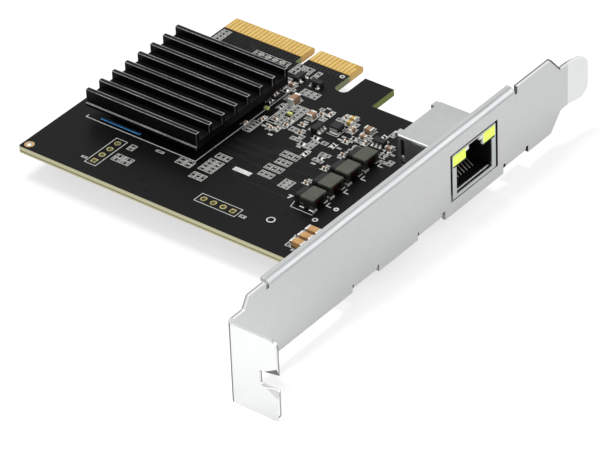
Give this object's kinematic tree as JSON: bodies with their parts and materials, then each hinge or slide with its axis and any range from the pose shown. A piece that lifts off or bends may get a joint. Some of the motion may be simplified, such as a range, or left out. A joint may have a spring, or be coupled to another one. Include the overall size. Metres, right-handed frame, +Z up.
{
  "type": "network interface card",
  "caption": "Network interface card: dark board with a finned heatsink, gold edge contacts and a shielded cable socket behind a folded full-height steel bracket.",
  "frame": {"origin": "centre line of the card edge's key notch, at the tips, on the component side of the board", "axes": "+X from the key notch towards the bracket, +Y out of the tips of the card edge (the way the card is pushed in), +Z up from the component side"},
  "size_m": [0.0968, 0.12, 0.0216],
  "materials": {
    "board_laminate": "dark solder mask",
    "edge_gold": "gold plated",
    "plated_rings": "tinned",
    "bracket_steel": "nickel plated satin",
    "screw_steel": "plated",
    "chip_case": "moulded",
    "thermal_film": "soft",
    "heatsink_black": "black anodised",
    "gap_pad_soft": "soft light blue",
    "socket_plastic": "moulded",
    "socket_shield": "plated sheet",
    "socket_contacts": "gold plated",
    "light_guide": "bright yellow-green",
    "ferrite": "ferrite ceramic",
    "enamelled_wire": "dark red enamel",
    "choke_top": "grey-green plate",
    "tinned_ends": "tin plated",
    "orange_ceramic": "ceramic",
    "tan_ceramic": "ceramic",
    "gold_ceramic": "ceramic",
    "resistor_body": "glazed",
    "inductor_body": "moulded",
    "transistor_case": "moulded",
    "board_light": "clear yellow-green"
  },
  "bodies": {
    "root": {"circuit_board": "board_laminate", "edge_contacts_front": "edge_gold", "edge_contacts_back": "edge_gold", "plated_pads": "plated_rings", "bracket": "bracket_steel", "bracket_screws": "screw_steel", "jack_shield": "socket_shield", "jack_housing": "socket_plastic", "jack_contacts": "socket_contacts", "jack_light_near": "light_guide", "jack_light_far": "light_guide", "controller_chip": "chip_case", "thermal_pad": "thermal_film", "heatsink": "heatsink_black", "board_gap_pad": "gap_pad_soft", "choke_terminals": "tinned_ends", "large_capacitor_1": "orange_ceramic", "large_capacitor_2": "orange_ceramic", "large_capacitor_3": "orange_ceramic", "large_capacitor_ends": "tinned_ends", "tan_capacitor_1": "tan_ceramic", "tan_capacitor_2": "tan_ceramic", "tan_capacitor_3": "tan_ceramic", "gold_capacitors": "gold_ceramic", "small_capacitors": "tan_ceramic", "small_resistors": "resistor_body", "small_part_ends": "tinned_ends", "power_inductor": "inductor_body", "inductor_terminals": "tinned_ends", "transistor_1": "transistor_case", "transistor_2": "transistor_case", "transistor_leads": "tinned_ends", "regulator_chip": "transistor_case", "line_guard_chip": "transistor_case", "chip_leads": "tinned_ends", "board_light_1": "board_light", "board_light_2": "board_light", "choke_core_1": "ferrite", "choke_winding_1": "enamelled_wire", "choke_plate_1": "choke_top", "choke_core_2": "ferrite", "choke_winding_2": "enamelled_wire", "choke_plate_2": "choke_top", "choke_core_3": "ferrite", "choke_winding_3": "enamelled_wire", "choke_plate_3": "choke_top", "choke_core_4": "ferrite", "choke_winding_4": "enamelled_wire", "choke_plate_4": "choke_top"}
  },
  "joints": []
}
